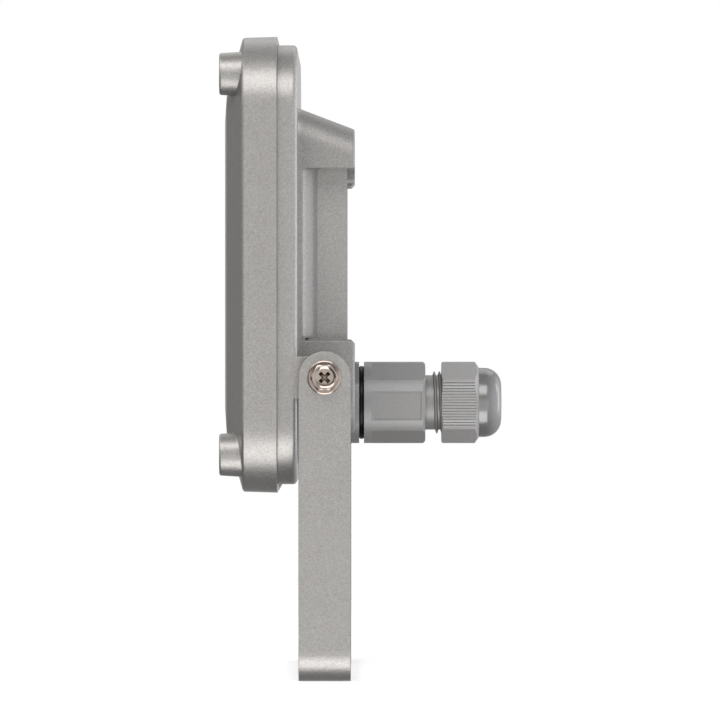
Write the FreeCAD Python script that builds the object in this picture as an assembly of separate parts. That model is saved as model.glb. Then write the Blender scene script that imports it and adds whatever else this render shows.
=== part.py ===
import FreeCAD, Part
import math
import os

from FreeCAD import Vector

# LED floodlight on a tilting U bracket, in millimetres.
# X runs across the lamp, Y from its front to its back, Z up.
# The origin is the centre of the bracket base's underside.

# Head, seen from the front
head_width = 160.0
head_height = 128.6
frame_corner = 20.0
head_above_pivot = 31.77
pivot_height = 85.1

# Depths of the head, taken from the pivot axis forwards
pivot_to_rim = 7.75
rim_depth = 5.65
frame_side = 9.8
bevel_rise = 5.0
boss_proud = 1.4

# Front frame
frame_wall = 3.0
frame_border = 25.0
crest_width = 2.0
crest_run = 6.0
crest_round = 0.5
crest_corner = 3.0
edge_break = 0.5
skirt_draft_deg = 1.7
window_corner = 7.0
window_bevel = 1.0
lip_thickness = 2.7
boss_inset = 10.85
boss_radius = 5.9
boss_draft_deg = 3.5
boss_edge = 0.5
screw_recess_depth = 5.0
screw_recess_gap = 0.4

# Glass and its seal
glass_thickness = 4.0
glass_overlap = 4.5
glass_corner = 8.0
gasket_wall = 1.5
gasket_front = 0.8
gasket_back = 1.5
gasket_cover = 3.0
fit_gap = 0.3

# Housing casting
rim_inset = 2.4
rim_fillet = 1.3
body_side_wall = 6.0
member_depth = 16.15
strip_height = 2.15
plateau_height = 5.55
plateau_run = 8.0
base_wall = 4.8
wall = 3.0
seat_land = 4.5
top_reach = 44.5
top_back = 38.35
recess_above = 27.4
recess_below = 20.6
recess_fall = 0.5
under_reach = 56.3
under_back = 46.9
body_fillet = 8.0
rear_fillet = 0.8
recess_fillet = 1.1
recess_edge = 1.0
strip_edge = 0.7
rear_corner = 1.0
pocket_corner = 3.0
drip_width = 20.0
drip_size = 1.7

# Cooling fins
fin_count = 11
fin_pitch = 10.0
fin_thickness = 2.8
fin_tip = 2.0
fin_setback = 2.2
tongue_width = 42.0
tongue_length = 4.2
tongue_corner = 2.0
tongue_lap = 0.2

# Pivot
lug_radius = 5.8
pivot_shank = 4.0
pivot_screw_length = 14.0
pivot_hex = 7.0
pivot_head_height = 2.9
pivot_flange_radius = 4.8
pivot_flange_height = 1.0
pivot_head_dish_radius = 3.1
pivot_head_dish = 0.4
cross_span = 3.6
cross_width = 1.0
cross_depth = 1.6
cross_turn_deg = 33.0
washer_radius = 4.8
washer_thickness = 0.5
running_gap = 0.06
thread_gap = 0.05

# Bracket
strap_width = 14.6
strap_thickness = 3.0
bend_radius = 8.5
base_hole_radius = 4.25
slot_spacing = 80.0
slot_length = 14.0
slot_radius = 2.75

# Frame screws
frame_shank = 4.0
frame_hole_gap = 0.2
frame_screw_length = 15.0
frame_head_radius = 3.6
frame_head_height = 2.4

# Shape of every pan head, as shares of the head
head_ease = 0.4
recess_span = 1.1
recess_slot = 0.3
recess_depth = 0.6

# Light source
carrier_width = 40.0
carrier_height = 46.0
carrier_thickness = 1.5
carrier_corner = 2.0
chip_frame_size = 28.0
chip_frame_height = 1.4
chip_size = 22.0
chip_height = 0.9
chip_gap = 0.2
small_shank = 3.0
small_head_radius = 2.7
small_head_height = 1.5
led_screw_edge = 3.5
led_screw_length = 5.0
tapping_spare = 0.5

# Reflector
reflector_sheet = 0.8
reflector_base_width = 62.0
reflector_base_height = 42.0
reflector_opening = 30.0
reflector_corner = 6.0
reflector_folds = 5
post_height = 3.6
post_radius = 3.0
post_spread = 25.5
post_screw_length = 5.0
reflector_front_gap = 0.4

# Driver
driver_length = 40.0
driver_from_boss = 2.5
driver_forward = 4.0
driver_corner = 1.5
driver_side_gap = 0.5

# Cable gland, along Y, turned parts
gland_below_pivot = 7.4
gland_hex = 22.0
gland_corner_diameter = 23.6
gland_seat_in = 1.0
flange_thickness = 2.25
flange_turn_deg = 11.0
flange_gap = 0.5
inner_boss_wall = 3.0
spigot_radius = 8.0
spigot_length = 9.4
socket_radius = 8.6
socket_length = 10.0
socket_wall = 2.2
o_ring_width = 1.4
o_ring_radius = 10.6
o_ring_crown = 0.35
barrel_length = 17.75
barrel_turn_deg = 5.0
barrel_edge = 0.6
collar_length = 2.2
panel_length = 13.4
panel_height = 7.9
panel_depth = 0.25
panel_from_end = 1.2
neck_radius = 7.9
thread_radius = 9.0
thread_pitch = 1.5
neck_gap = 4.7
finger_slots = 4
finger_slot_width = 1.0
finger_length = 4.0
nut_turn_deg = 2.3
nut_hex_length = 10.75
nut_chamfer = 1.1
rib_count = 15
rib_pitch = 0.815
rib_gap = 0.22
rib_depth = 0.22
dome_radius = 10.05
dome_length = 6.6
dome_fillet = 5.0
dome_wall = 2.4
cable_hole_radius = 5.4
tighten_turns = 1.0
seal_radius = 5.3
seal_bore_radius = 4.4
seal_length = 16.5
terminal_length = 12.0
terminal_bore_radius = 1.8
terminal_ring_radius = 3.4
sleeve_wall = 0.6
sleeve_length = 9.0

# Places worked out from the sizes above
overcut = 1.0
pivot_z = pivot_height
head_z = pivot_z + head_above_pivot
rim_back = -pivot_to_rim
rim_front = rim_back - rim_depth
edge_y = rim_front - frame_side
crest_y = edge_y - bevel_rise
boss_tip = crest_y - boss_proud
lip_back = crest_y + lip_thickness
glass_front = lip_back + gasket_front
glass_back = glass_front + glass_thickness
seat_y = glass_back + gasket_back
window_width = head_width - 2 * frame_border
window_height = head_height - 2 * frame_border
glass_width = window_width + 2 * glass_overlap
glass_height = window_height + 2 * glass_overlap
gasket_width = glass_width + 2 * gasket_wall
gasket_height = glass_height + 2 * gasket_wall
gasket_corner = glass_corner + gasket_wall
cavity_width = gasket_width - 2 * seat_land
cavity_height = gasket_height - 2 * seat_land
cavity_corner = gasket_corner - seat_land
rim_half = head_width / 2 - rim_inset
inner_boss_radius = spigot_radius + inner_boss_wall
pocket_half = inner_boss_radius + driver_from_boss + driver_length + driver_side_gap
body_half = pocket_half + body_side_wall
member_back = rim_back + member_depth
strip_y = rim_back + strip_height
plateau_y = rim_back + plateau_height
floor_y = plateau_y - base_wall
fin_back = member_back - fin_setback
top_rim_z = head_z + top_reach
top_back_z = head_z + top_back
recess_top_z = head_z + recess_above
recess_bottom_z = head_z - recess_below
under_rim_z = head_z - under_reach
under_back_z = head_z - under_back
pocket_back = member_back - wall
led_screw_x = carrier_width / 2 - led_screw_edge
led_screw_z = carrier_height / 2 - led_screw_edge
boss_x = head_width / 2 - boss_inset
boss_z = head_height / 2 - boss_inset
arm_inner = rim_half + washer_thickness
arm_outer = arm_inner + strap_thickness
gland_z = pivot_z - gland_below_pivot
gland_seat = member_back - gland_seat_in
flange_end = gland_seat + flange_thickness
barrel_start = flange_end + o_ring_width
barrel_end = barrel_start + barrel_length
nut_start = barrel_end + neck_gap
nut_hex_end = nut_start + nut_hex_length
nut_end = nut_hex_end + dome_length
tighten_travel = tighten_turns * thread_pitch
neck_end = nut_hex_end - tighten_travel - fit_gap
seal_end = nut_end - dome_wall - fit_gap
seal_start = seal_end - seal_length
seal_ledge = seal_start - tighten_travel - fit_gap
spigot_end = gland_seat - spigot_length
flange_pocket_radius = gland_corner_diameter / 2 + flange_gap
reflector_back = floor_y - post_height
carrier_front = floor_y - carrier_thickness


def rounded_outline(width, height, corner, y):
    """Wire of a rectangle with round corners, upright in the plane at y, on the head's centre."""
    edges = []
    ends = []
    for x_sign, z_sign, start in ((1, 1, 0), (-1, 1, 90), (-1, -1, 180), (1, -1, 270)):
        centre = Vector(x_sign * (width / 2 - corner), y, head_z + z_sign * (height / 2 - corner))
        points = []
        for angle in (start, start + 45, start + 90):
            turn = math.radians(angle)
            points.append(centre + Vector(corner * math.cos(turn), 0, corner * math.sin(turn)))
        edges.append(Part.Arc(points[0], points[1], points[2]).toShape())
        ends.append((points[0], points[2]))
    wire_edges = []
    for index in range(4):
        wire_edges.append(edges[index])
        wire_edges.append(Part.makeLine(ends[index][1], ends[(index + 1) % 4][0]))
    return Part.Wire(wire_edges)


def slab(width, height, corner, y_start, y_end):
    """Plate with round corners between two depths, on the head's centre."""
    face = Part.Face(rounded_outline(width, height, corner, y_start))
    return face.extrude(Vector(0, y_end - y_start, 0))


def taper(size_a, corner_a, y_a, size_b, corner_b, y_b):
    """Block that runs straight from one rounded outline to another."""
    outline_a = rounded_outline(size_a[0], size_a[1], corner_a, y_a)
    outline_b = rounded_outline(size_b[0], size_b[1], corner_b, y_b)
    return Part.makeLoft([outline_a, outline_b], True, True)


def rod_y(radius, y_start, y_end, x, z):
    """Cylinder along Y."""
    return Part.makeCylinder(radius, y_end - y_start, Vector(x, y_start, z), Vector(0, 1, 0))


def rod_x(radius, x_start, x_end, y, z):
    """Cylinder along X."""
    return Part.makeCylinder(radius, x_end - x_start, Vector(x_start, y, z), Vector(1, 0, 0))


def block(x_start, x_end, y_start, y_end, z_start, z_end):
    """Box between two corners."""
    corner = Vector(x_start, y_start, z_start)
    return Part.makeBox(x_end - x_start, y_end - y_start, z_end - z_start, corner)


def flat_face(points):
    """Flat face inside a closed line of points."""
    return Part.Face(Part.makePolygon(points + points[:1]))


def side_prism(points, x_start, x_end):
    """Outline of (y, z) points in the side view, extruded along X."""
    corners = [Vector(x_start, y, z) for y, z in points]
    return flat_face(corners).extrude(Vector(x_end - x_start, 0, 0))


def plan_prism(points, z_start, z_end):
    """Outline of (x, y) points seen from above, extruded along Z."""
    corners = [Vector(x, y, z_start) for x, y in points]
    return flat_face(corners).extrude(Vector(0, 0, z_end - z_start))


def turned_at(profile, x, z):
    """Solid of revolution about an axis along Y from (radius, y) points."""
    corners = [Vector(x + radius, y, z) for radius, y in profile]
    return flat_face(corners).revolve(Vector(x, 0, z), Vector(0, 1, 0), 360)


def turned(profile):
    """Solid of revolution about the gland's axis."""
    return turned_at(profile, 0, gland_z)


def gland_hexagon(across_flats, y_start, y_end):
    """Hexagon prism on the gland's axis with two flats facing sideways."""
    circumradius = across_flats / 2 / math.cos(math.radians(30))
    corners = []
    for step in range(6):
        turn = math.radians(30 + 60 * step)
        corners.append(Vector(circumradius * math.cos(turn), y_start, gland_z + circumradius * math.sin(turn)))
    return flat_face(corners).extrude(Vector(0, y_end - y_start, 0))


def turn_on_gland(shape, angle_deg):
    """Turn a shape about the gland's axis, its right side downwards."""
    shape.rotate(Vector(0, 0, gland_z), Vector(0, 1, 0), angle_deg)


def round_edges_at(shape, radius, chosen):
    """Fillet the edges that the given test picks."""
    edges = [edge for edge in shape.Edges if chosen(edge)]
    return shape.makeFillet(radius, edges)


def inset_size(inset):
    """Width and height of the head's outline, moved inwards."""
    return head_width - 2 * inset, head_height - 2 * inset


def four_corners(x, z):
    """The same place in each quarter of the head."""
    return [(x, head_z + z), (-x, head_z + z), (-x, head_z - z), (x, head_z - z)]


def top_slope_z(y):
    """Height of the top member's sloping face at a depth."""
    share = (y - rim_back) / member_depth
    return top_rim_z + share * (top_back_z - top_rim_z)


def under_slope_z(y):
    """Height of the sloping underside at a depth."""
    share = (y - rim_back) / member_depth
    return under_rim_z + share * (under_back_z - under_rim_z)


def make_boss(x, z):
    """Round screw boss on the front frame, slightly conical, with an eased front edge."""
    base_radius = boss_radius + (rim_front - boss_tip) * math.tan(math.radians(boss_draft_deg))
    profile = [
        (0, boss_tip),
        (boss_radius - boss_edge, boss_tip),
        (boss_radius - boss_edge * 0.3, boss_tip + boss_edge * 0.3),
        (boss_radius, boss_tip + boss_edge),
        (base_radius, rim_front),
        (0, rim_front),
    ]
    return turned_at(profile, x, z)


def make_front_frame():
    """Cast frame: a skirt, a shallow bevel up to a flat crest, four bosses and a ledge for the glass."""
    crest_inset = frame_border - crest_width
    bevel_inset = crest_inset - crest_run
    skirt_inset = frame_side * math.tan(math.radians(skirt_draft_deg))
    edge_inset = skirt_inset + edge_break
    frame = taper(
        inset_size(skirt_inset),
        frame_corner - skirt_inset,
        edge_y + edge_break,
        inset_size(0),
        frame_corner,
        rim_front,
    )
    steps = [
        (skirt_inset, frame_corner - skirt_inset, edge_y + edge_break),
        (edge_inset, frame_corner - edge_inset, edge_y),
        (bevel_inset, frame_corner - bevel_inset, crest_y + crest_round),
        (crest_inset, crest_corner, crest_y),
    ]
    for lower, upper in zip(steps[:-1], steps[1:]):
        size_a = inset_size(lower[0])
        size_b = inset_size(upper[0])
        frame = frame.fuse(taper(size_a, lower[1], lower[2], size_b, upper[1], upper[2]))

    channel_floor = edge_y + frame_wall
    skirt_size = inset_size(frame_wall)
    channel = slab(skirt_size[0], skirt_size[1], frame_corner - frame_wall, channel_floor, rim_front + overcut)
    core_width = gasket_width + 2 * (fit_gap + frame_wall)
    core_height = gasket_height + 2 * (fit_gap + frame_wall)
    core_corner = gasket_corner + fit_gap + frame_wall
    channel = channel.cut(slab(core_width, core_height, core_corner, channel_floor, rim_front + overcut))
    frame = frame.cut(channel)

    bosses = [make_boss(x, z) for x, z in four_corners(boss_x, boss_z)]
    frame = frame.fuse(bosses)

    pocket = slab(
        gasket_width + 2 * fit_gap,
        gasket_height + 2 * fit_gap,
        gasket_corner + fit_gap,
        lip_back,
        rim_front + overcut,
    )
    window = slab(window_width, window_height, window_corner, crest_y - overcut, lip_back + overcut)
    wide_window = (window_width + 2 * window_bevel, window_height + 2 * window_bevel)
    mouth = taper(
        wide_window,
        window_corner + window_bevel,
        crest_y,
        (window_width, window_height),
        window_corner,
        crest_y + window_bevel,
    )
    frame = frame.cut([pocket, window, mouth])

    recess_floor = boss_tip + screw_recess_depth
    for x, z in four_corners(boss_x, boss_z):
        recess = rod_y(frame_head_radius + screw_recess_gap, boss_tip - overcut, recess_floor, x, z)
        hole = rod_y(frame_shank / 2 + frame_hole_gap, boss_tip, rim_front + overcut, x, z)
        frame = frame.cut([recess, hole])
    return frame


def make_glass():
    """Flat toughened pane."""
    return slab(glass_width, glass_height, glass_corner, glass_front, glass_back)


def make_gasket():
    """Silicone channel seal that wraps the edge of the pane."""
    seal = slab(gasket_width, gasket_height, gasket_corner, lip_back, seat_y)
    open_width = glass_width - 2 * gasket_cover
    open_height = glass_height - 2 * gasket_cover
    opening = slab(open_width, open_height, glass_corner - gasket_cover, lip_back - overcut, seat_y + overcut)
    return seal.cut([make_glass(), opening])


def make_rim():
    """Rim plate of the housing with a rounded back edge and a small drip lip under it."""
    rim_size = inset_size(rim_inset)
    rim = slab(rim_size[0], rim_size[1], frame_corner - rim_inset, rim_front, rim_back)
    rim = round_edges_at(rim, rim_fillet, lambda edge: edge.BoundBox.YMin > rim_back - 0.01)
    rim_low = head_z - rim_size[1] / 2
    lip = side_prism(
        [
            (rim_front, rim_low + drip_size),
            (rim_front, rim_low - drip_size),
            (rim_front + drip_size, rim_low),
            (rim_front + drip_size, rim_low + drip_size),
        ],
        -drip_width / 2,
        drip_width / 2,
    )
    return rim.fuse(lip)


def make_rear_body():
    """Block behind the rim with sloping top and underside and rounded long edges."""
    inside = rim_back - overcut
    outline = [
        (inside, top_slope_z(inside)),
        (member_back, top_back_z),
        (member_back, under_back_z),
        (inside, under_slope_z(inside)),
    ]
    body = side_prism(outline, -body_half, body_half)

    def is_long_edge(edge):
        box = edge.BoundBox
        return box.XLength < 0.01 and box.YLength > member_depth

    def is_back_edge(edge):
        return edge.BoundBox.YMin > member_back - 0.01

    body = round_edges_at(body, body_fillet, is_long_edge)
    return round_edges_at(body, rear_fillet, is_back_edge)


def make_fin_recess():
    """Space for the fins: its floor falls away at both sides, its lower wall falls towards the back."""
    plateau_half = body_half - plateau_run
    reach = body_half + overcut
    beyond = member_back + overcut
    side_line = [
        (reach, strip_y - strip_edge - overcut),
        (body_half - strip_edge, strip_y),
        (plateau_half, plateau_y),
    ]
    floor_line = [(-x, y) for x, y in side_line] + side_line[::-1]
    recess = plan_prism(floor_line + [(reach, beyond), (-reach, beyond)], recess_bottom_z, recess_top_z)

    def is_floor_corner(edge):
        box = edge.BoundBox
        return box.ZLength < 0.01 and box.YMax < plateau_y + 0.01

    cutters = [round_edges_at(recess, recess_fillet, is_floor_corner)]
    low_z = recess_bottom_z - recess_fall
    falling_wall = [
        (plateau_y + recess_fillet, recess_bottom_z),
        (member_back - rear_corner, low_z),
        (beyond, low_z - rear_corner - overcut),
        (beyond, recess_bottom_z),
    ]
    cutters.append(side_prism(falling_wall, -reach, reach))
    for side in (-1, 1):
        corners = [
            Vector(side * (body_half - recess_edge), strip_y, recess_bottom_z),
            Vector(side * reach, strip_y, recess_bottom_z),
            Vector(side * reach, strip_y, recess_bottom_z - recess_edge - overcut),
        ]
        cutters.append(flat_face(corners).extrude(Vector(0, beyond - strip_y, 0)))
    return cutters


def make_fins():
    """Upright cooling fins, thinner at their back edge, between the two members."""
    fins = []
    for index in range(fin_count):
        x = (index - (fin_count - 1) / 2) * fin_pitch
        outline = [
            (x - fin_thickness / 2, plateau_y - overcut),
            (x + fin_thickness / 2, plateau_y - overcut),
            (x + fin_tip / 2, fin_back),
            (x - fin_tip / 2, fin_back),
        ]
        fins.append(plan_prism(outline, recess_bottom_z - overcut, recess_top_z + overcut))
    return fins


def make_tongue():
    """Flat tongue that hangs from the top member over the fins' upper ends."""
    low = recess_top_z - tongue_length
    high = recess_top_z + overcut
    half = tongue_width / 2
    tongue = block(-half, half, fin_back - tongue_lap, member_back, low, high)

    def is_low_corner(edge):
        box = edge.BoundBox
        return box.YLength > 0.1 and box.XLength < 0.01 and box.ZMax < low + 0.01

    tongue = round_edges_at(tongue, tongue_corner, is_low_corner)
    rear_edge = [
        (member_back - rear_corner - overcut, low - overcut),
        (member_back + overcut, low - overcut),
        (member_back + overcut, low + rear_corner + overcut),
    ]
    return tongue.cut(side_prism(rear_edge, -half, half))


def make_lug(side):
    """Ear for the pivot, flush with the side of the rim."""
    low_x, high_x = sorted((side * (body_half - wall), side * rim_half))
    web = block(low_x, high_x, rim_back - overcut, 0, pivot_z - lug_radius, pivot_z + lug_radius)
    return web.fuse(rod_x(lug_radius, low_x, high_x, 0, pivot_z))


def make_pockets():
    """Hollows of the casting, all open to the front."""
    chamber = slab(cavity_width, cavity_height, cavity_corner, seat_y - overcut, floor_y)
    cavity_low = head_z - cavity_height / 2
    cavity_high = head_z + cavity_height / 2
    start = floor_y - overcut
    bottom = block(-pocket_half, pocket_half, start, pocket_back, cavity_low, recess_bottom_z - wall)

    def is_depth_edge(edge):
        return edge.BoundBox.YLength > 1

    bottom = round_edges_at(bottom, pocket_corner, is_depth_edge)
    top_low = recess_top_z + wall
    top_outline = [
        (start, top_low),
        (pocket_back, top_low),
        (pocket_back, top_slope_z(pocket_back) - wall),
        (start, min(cavity_high, top_slope_z(start) - wall)),
    ]
    top = side_prism(top_outline, -pocket_half, pocket_half)
    return [chamber, bottom, top]


def make_housing():
    """Die-cast housing: rim, rear body with fins, pivot ears, seal land and the hollows inside."""
    housing = make_rim().fuse(make_rear_body())
    housing = housing.cut(make_fin_recess())
    housing = housing.fuse(make_fins() + [make_tongue(), make_lug(1), make_lug(-1)])
    housing = housing.fuse(rod_y(flange_pocket_radius, rim_back, gland_seat, 0, gland_z))
    housing = housing.cut(rod_y(flange_pocket_radius, gland_seat, member_back + overcut, 0, gland_z))
    housing = housing.fuse(slab(gasket_width, gasket_height, gasket_corner, seat_y, rim_front))
    housing = housing.cut(make_pockets())
    inner_boss = rod_y(inner_boss_radius, spigot_end, gland_seat, 0, gland_z)
    posts = [rod_y(post_radius, reflector_back, floor_y, x, head_z) for x in (-post_spread, post_spread)]
    housing = housing.fuse([inner_boss] + posts)

    holes = [rod_y(spigot_radius + thread_gap, spigot_end, gland_seat + overcut, 0, gland_z)]
    frame_hole_end = boss_tip + screw_recess_depth + frame_screw_length + fit_gap
    for x, z in four_corners(boss_x, boss_z):
        holes.append(rod_y(frame_shank / 2 + thread_gap, rim_front - overcut, frame_hole_end, x, z))
    led_hole_end = carrier_front + led_screw_length + tapping_spare
    for x, z in four_corners(led_screw_x, led_screw_z):
        holes.append(rod_y(small_shank / 2 + thread_gap, floor_y - overcut, led_hole_end, x, z))
    post_hole_end = reflector_back - reflector_sheet + post_screw_length + tapping_spare
    for x in (-post_spread, post_spread):
        holes.append(rod_y(small_shank / 2 + thread_gap, reflector_back - overcut, post_hole_end, x, head_z))
    pivot_hole_end = arm_outer - pivot_screw_length - tapping_spare
    for side in (-1, 1):
        low_x, high_x = sorted((side * pivot_hole_end, side * (rim_half + overcut)))
        holes.append(rod_x(pivot_shank / 2 + thread_gap, low_x, high_x, 0, pivot_z))
    return housing.cut(holes)


def make_bracket():
    """U strap, bent from flat bar, with round arm ends, pivot holes and a slotted base."""
    half = strap_width / 2
    top = pivot_z + half
    outer = block(-arm_outer, arm_outer, -half, half, 0, top)
    inner = block(-arm_inner, arm_inner, -half - overcut, half + overcut, strap_thickness, top + overcut)

    def is_bend(edge):
        box = edge.BoundBox
        return box.YLength > half and box.ZMax < strap_thickness + 0.01

    outer = round_edges_at(outer, bend_radius, is_bend)
    inner = round_edges_at(inner, bend_radius - strap_thickness, is_bend)
    arm_shape = block(-arm_outer, arm_outer, -half, half, 0, pivot_z)
    arm_shape = arm_shape.fuse(rod_x(half, -arm_outer, arm_outer, 0, pivot_z))
    strap = outer.cut(inner).common(arm_shape).removeSplitter()

    holes = [rod_x(pivot_shank / 2 + running_gap, -arm_outer - overcut, arm_outer + overcut, 0, pivot_z)]
    up = Vector(0, 0, 1)
    deep = strap_thickness + 2 * overcut
    holes.append(Part.makeCylinder(base_hole_radius, deep, Vector(0, 0, -overcut), up))
    slot_run = slot_length / 2 - slot_radius
    for x in (-slot_spacing / 2, slot_spacing / 2):
        slot = block(x - slot_run, x + slot_run, -slot_radius, slot_radius, -overcut, strap_thickness + overcut)
        for end_x in (x - slot_run, x + slot_run):
            slot = slot.fuse(Part.makeCylinder(slot_radius, deep, Vector(end_x, 0, -overcut), up))
        holes.append(slot)
    return strap.cut(holes)


def cross_recess(x_tip):
    """Cross-shaped driver recess in a head that faces along X."""
    cutters = []
    for turn in (cross_turn_deg, cross_turn_deg + 90):
        low_z = pivot_z - cross_width / 2
        slot = block(
            x_tip - cross_depth, x_tip + overcut, -cross_span / 2, cross_span / 2, low_z, low_z + cross_width
        )
        slot.rotate(Vector(0, 0, pivot_z), Vector(1, 0, 0), turn)
        cutters.append(slot)
    return cutters


def make_pivot_screw(side):
    """Hexagon screw with a flange and a cross recess, screwed into the ear through the arm."""
    seat = arm_outer
    tip = seat + pivot_flange_height + pivot_head_height
    circumradius = pivot_hex / 2 / math.cos(math.radians(30))
    corners = []
    for step in range(6):
        turn = math.radians(60 * step)
        corners.append(Vector(seat, circumradius * math.cos(turn), pivot_z + circumradius * math.sin(turn)))
    head = flat_face(corners).extrude(Vector(tip - seat, 0, 0))
    crown = Part.makeCone(
        circumradius + pivot_head_height * 2,
        pivot_hex / 2,
        tip - seat,
        Vector(seat, 0, pivot_z),
        Vector(1, 0, 0),
    )
    head = head.common(crown)
    head = head.fuse(rod_x(pivot_flange_radius, seat, seat + pivot_flange_height, 0, pivot_z))
    head = head.fuse(rod_x(pivot_shank / 2, seat - pivot_screw_length, seat + overcut, 0, pivot_z))
    head = head.cut(rod_x(pivot_head_dish_radius, tip - pivot_head_dish, tip + overcut, 0, pivot_z))
    head = head.cut(cross_recess(tip - pivot_head_dish))
    if side < 0:
        head = head.mirror(Vector(0, 0, 0), Vector(1, 0, 0))
    return head


def make_pivot_washer(side):
    """Flat washer between the ear and the arm."""
    low_x, high_x = sorted((side * rim_half, side * arm_inner))
    washer = rod_x(washer_radius, low_x, high_x, 0, pivot_z)
    return washer.cut(rod_x(pivot_shank / 2 + running_gap, low_x - overcut, high_x + overcut, 0, pivot_z))


def make_pan_screw(x, z, seat, length, shank, head_radius, head_height):
    """Pan-head screw along Y, with an eased head that faces the front and a cross recess."""
    front = seat - head_height
    ease = head_height * head_ease
    profile = [
        (0, front),
        (head_radius - 1.5 * ease, front),
        (head_radius, front + ease),
        (head_radius, seat),
        (shank / 2, seat),
        (shank / 2, seat + length),
        (0, seat + length),
    ]
    head = turned_at(profile, x, z)
    span = head_radius * recess_span
    slot = head_radius * recess_slot
    floor = front + head_height * recess_depth
    upright = block(x - slot / 2, x + slot / 2, front - overcut, floor, z - span / 2, z + span / 2)
    across = block(x - span / 2, x + span / 2, front - overcut, floor, z - slot / 2, z + slot / 2)
    return head.cut([upright, across])


def make_led_carrier():
    """Metal base plate of the light source."""
    plate = slab(carrier_width, carrier_height, carrier_corner, carrier_front, floor_y)
    for x, z in four_corners(led_screw_x, led_screw_z):
        plate = plate.cut(rod_y(small_shank / 2 + thread_gap, carrier_front - overcut, floor_y + overcut, x, z))
    return plate


def make_chip_frame():
    """White plastic frame around the light-emitting square."""
    front = carrier_front - chip_frame_height
    frame = slab(chip_frame_size, chip_frame_size, carrier_corner, front, carrier_front)
    gap = chip_size + 2 * chip_gap
    return frame.cut(slab(gap, gap, 1.0, front - overcut, carrier_front + overcut))


def make_chip():
    """Light-emitting square."""
    return slab(chip_size, chip_size, 1.0, carrier_front - chip_height, carrier_front)


def folded_outline(width, height, corner, y):
    """Points of a rectangle whose corners turn in a few straight folds, on the head's centre."""
    points = []
    for x_sign, z_sign, start in ((1, 1, 0), (-1, 1, 90), (-1, -1, 180), (1, -1, 270)):
        centre = Vector(x_sign * (width / 2 - corner), y, head_z + z_sign * (height / 2 - corner))
        for step in range(reflector_folds + 1):
            turn = math.radians(start + 90 * step / reflector_folds)
            points.append(centre + Vector(corner * math.cos(turn), 0, corner * math.sin(turn)))
    return points


def folded_taper(size_a, corner_a, y_a, size_b, corner_b, y_b):
    """Block of flat faces that runs straight from one folded outline to another."""
    outline_a = folded_outline(size_a[0], size_a[1], corner_a, y_a)
    outline_b = folded_outline(size_b[0], size_b[1], corner_b, y_b)
    faces = [flat_face(outline_a), flat_face(outline_b)]
    for index in range(len(outline_a)):
        after = (index + 1) % len(outline_a)
        faces.append(flat_face([outline_a[index], outline_a[after], outline_b[after], outline_b[index]]))
    return Part.makeSolid(Part.makeShell(faces))


def make_reflector():
    """Four-sided reflector tray, folded from sheet, with a square opening for the light source."""
    outer_size = (cavity_width - 2 * fit_gap, cavity_height - 2 * fit_gap)
    base_size = (reflector_base_width, reflector_base_height)
    front = seat_y + reflector_front_gap
    outer_corner = cavity_corner - fit_gap
    shell = folded_taper(base_size, reflector_corner, reflector_back, outer_size, outer_corner, front)
    inner_base = (base_size[0] - reflector_sheet, base_size[1] - reflector_sheet)
    inner_outer = (outer_size[0] - 2 * reflector_sheet, outer_size[1] - 2 * reflector_sheet)
    hollow = folded_taper(
        inner_base,
        reflector_corner - reflector_sheet / 2,
        reflector_back - reflector_sheet,
        inner_outer,
        outer_corner - reflector_sheet,
        front - overcut / 100,
    )
    opening = slab(reflector_opening, reflector_opening, 1.0, front - overcut, reflector_back + overcut)
    holes = [opening]
    for x in (-post_spread, post_spread):
        holes.append(rod_y(small_shank / 2 + thread_gap, front, reflector_back + overcut, x, head_z))
    return shell.cut([hollow] + holes)


def make_driver():
    """Potted driver in the right half of the lower hollow."""
    low_x = inner_boss_radius + driver_from_boss
    low_z = head_z - cavity_height / 2 + fit_gap
    high_z = recess_bottom_z - wall - fit_gap
    case = block(low_x, low_x + driver_length, floor_y - driver_forward, pocket_back, low_z, high_z)
    return round_edges_at(case, driver_corner, lambda edge: edge.BoundBox.YLength > 1)


def make_gland_base():
    """Hexagon flange with a threaded spigot into the housing and a socket for the barrel."""
    bore = socket_radius - socket_wall
    flange = gland_hexagon(gland_hex, gland_seat, flange_end).common(
        rod_y(gland_corner_diameter / 2, gland_seat, flange_end, 0, gland_z)
    )
    turn_on_gland(flange, flange_turn_deg)
    tube = turned(
        [
            (bore, spigot_end),
            (spigot_radius, spigot_end),
            (spigot_radius, gland_seat),
            (socket_radius, gland_seat),
            (socket_radius, flange_end + socket_length),
            (bore, flange_end + socket_length),
        ]
    )
    hole = rod_y(bore, gland_seat - overcut, flange_end + overcut, 0, gland_z)
    return flange.cut(hole).fuse(tube)


def make_o_ring():
    """Seal between flange and barrel, with a crowned outside."""
    inner = socket_radius + thread_gap
    edge = o_ring_radius - o_ring_crown
    return turned(
        [
            (inner, flange_end),
            (edge, flange_end),
            (o_ring_radius, flange_end + o_ring_crown),
            (o_ring_radius, barrel_start - o_ring_crown),
            (edge, barrel_start),
            (inner, barrel_start),
        ]
    )


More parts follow.
